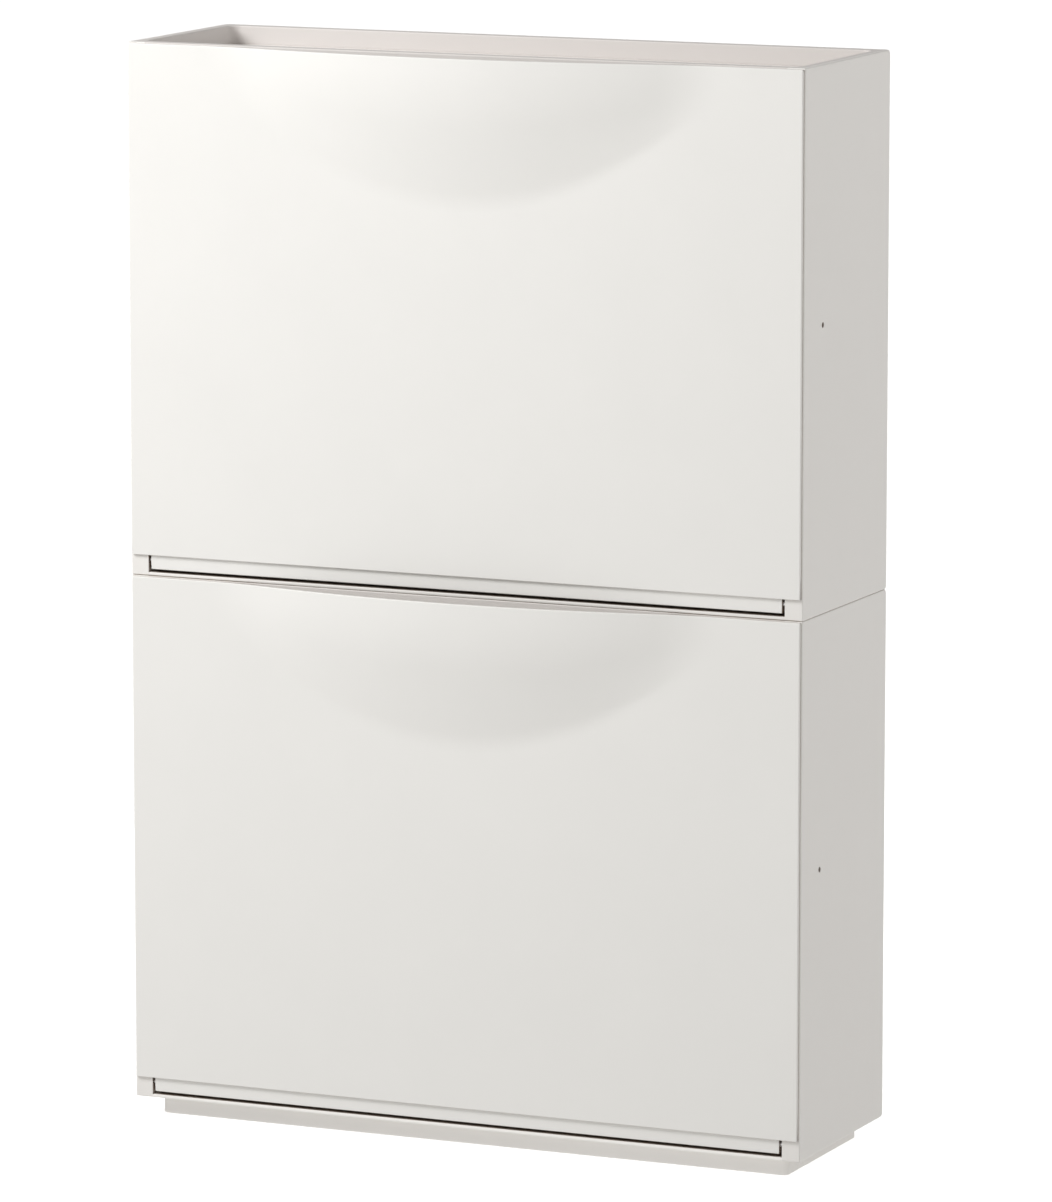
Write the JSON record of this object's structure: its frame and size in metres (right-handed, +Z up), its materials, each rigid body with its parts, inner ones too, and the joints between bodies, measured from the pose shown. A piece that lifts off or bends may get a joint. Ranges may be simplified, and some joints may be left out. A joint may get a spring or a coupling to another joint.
{
  "type": "tilt-out shoe cabinet",
  "caption": "Slim white plastic shoe cabinet of stacked tilt-out units with bowed pull lips, an open top tray and a recessed plinth.",
  "frame": {"origin": "floor level, under the middle of the overall width and depth", "axes": "+X to the right as seen from the front, +Y from the doors to the wall, +Z up"},
  "size_m": [0.51, 0.18, 0.7665],
  "materials": {
    "door_white": "fine satin moulded white",
    "frame_white": "fine satin moulded white",
    "inner_white": "plain moulded white",
    "pin_plastic": "moulded light grey",
    "pin_steel": "drawn wire"
  },
  "bodies": {
    "cabinet": {"lower_base_panel": "frame_white", "lower_back_panel": "frame_white", "lower_side_panel_left": "frame_white", "lower_side_panel_right": "frame_white", "lower_top_tray": "frame_white", "lower_stop_pins": "pin_plastic", "upper_base_panel": "frame_white", "upper_back_panel": "frame_white", "upper_side_panel_left": "frame_white", "upper_side_panel_right": "frame_white", "upper_top_tray": "frame_white", "upper_stop_pins": "pin_plastic"},
    "lower_door": {"lower_hinge_pins": "pin_steel", "lower_door_panel": "door_white", "lower_door_frame": "door_white", "lower_door_cheek_left": "inner_white", "lower_door_cheek_right": "inner_white", "lower_shoe_shelf": "inner_white"},
    "upper_door": {"upper_hinge_pins": "pin_steel", "upper_door_panel": "door_white", "upper_door_frame": "door_white", "upper_door_cheek_left": "inner_white", "upper_door_cheek_right": "inner_white", "upper_shoe_shelf": "inner_white"}
  },
  "joints": [
    {"name": "lower_door_hinge", "type": "hinge", "parent": "cabinet", "child": "lower_door", "pos_m": [0, -0.0615, 0.0247], "axis": [1, 0, 0], "range_deg": [0, 32]},
    {"name": "upper_door_hinge", "type": "hinge", "parent": "cabinet", "child": "upper_door", "pos_m": [0, -0.0615, 0.4012], "axis": [1, 0, 0], "range_deg": [0, 32]}
  ]
}
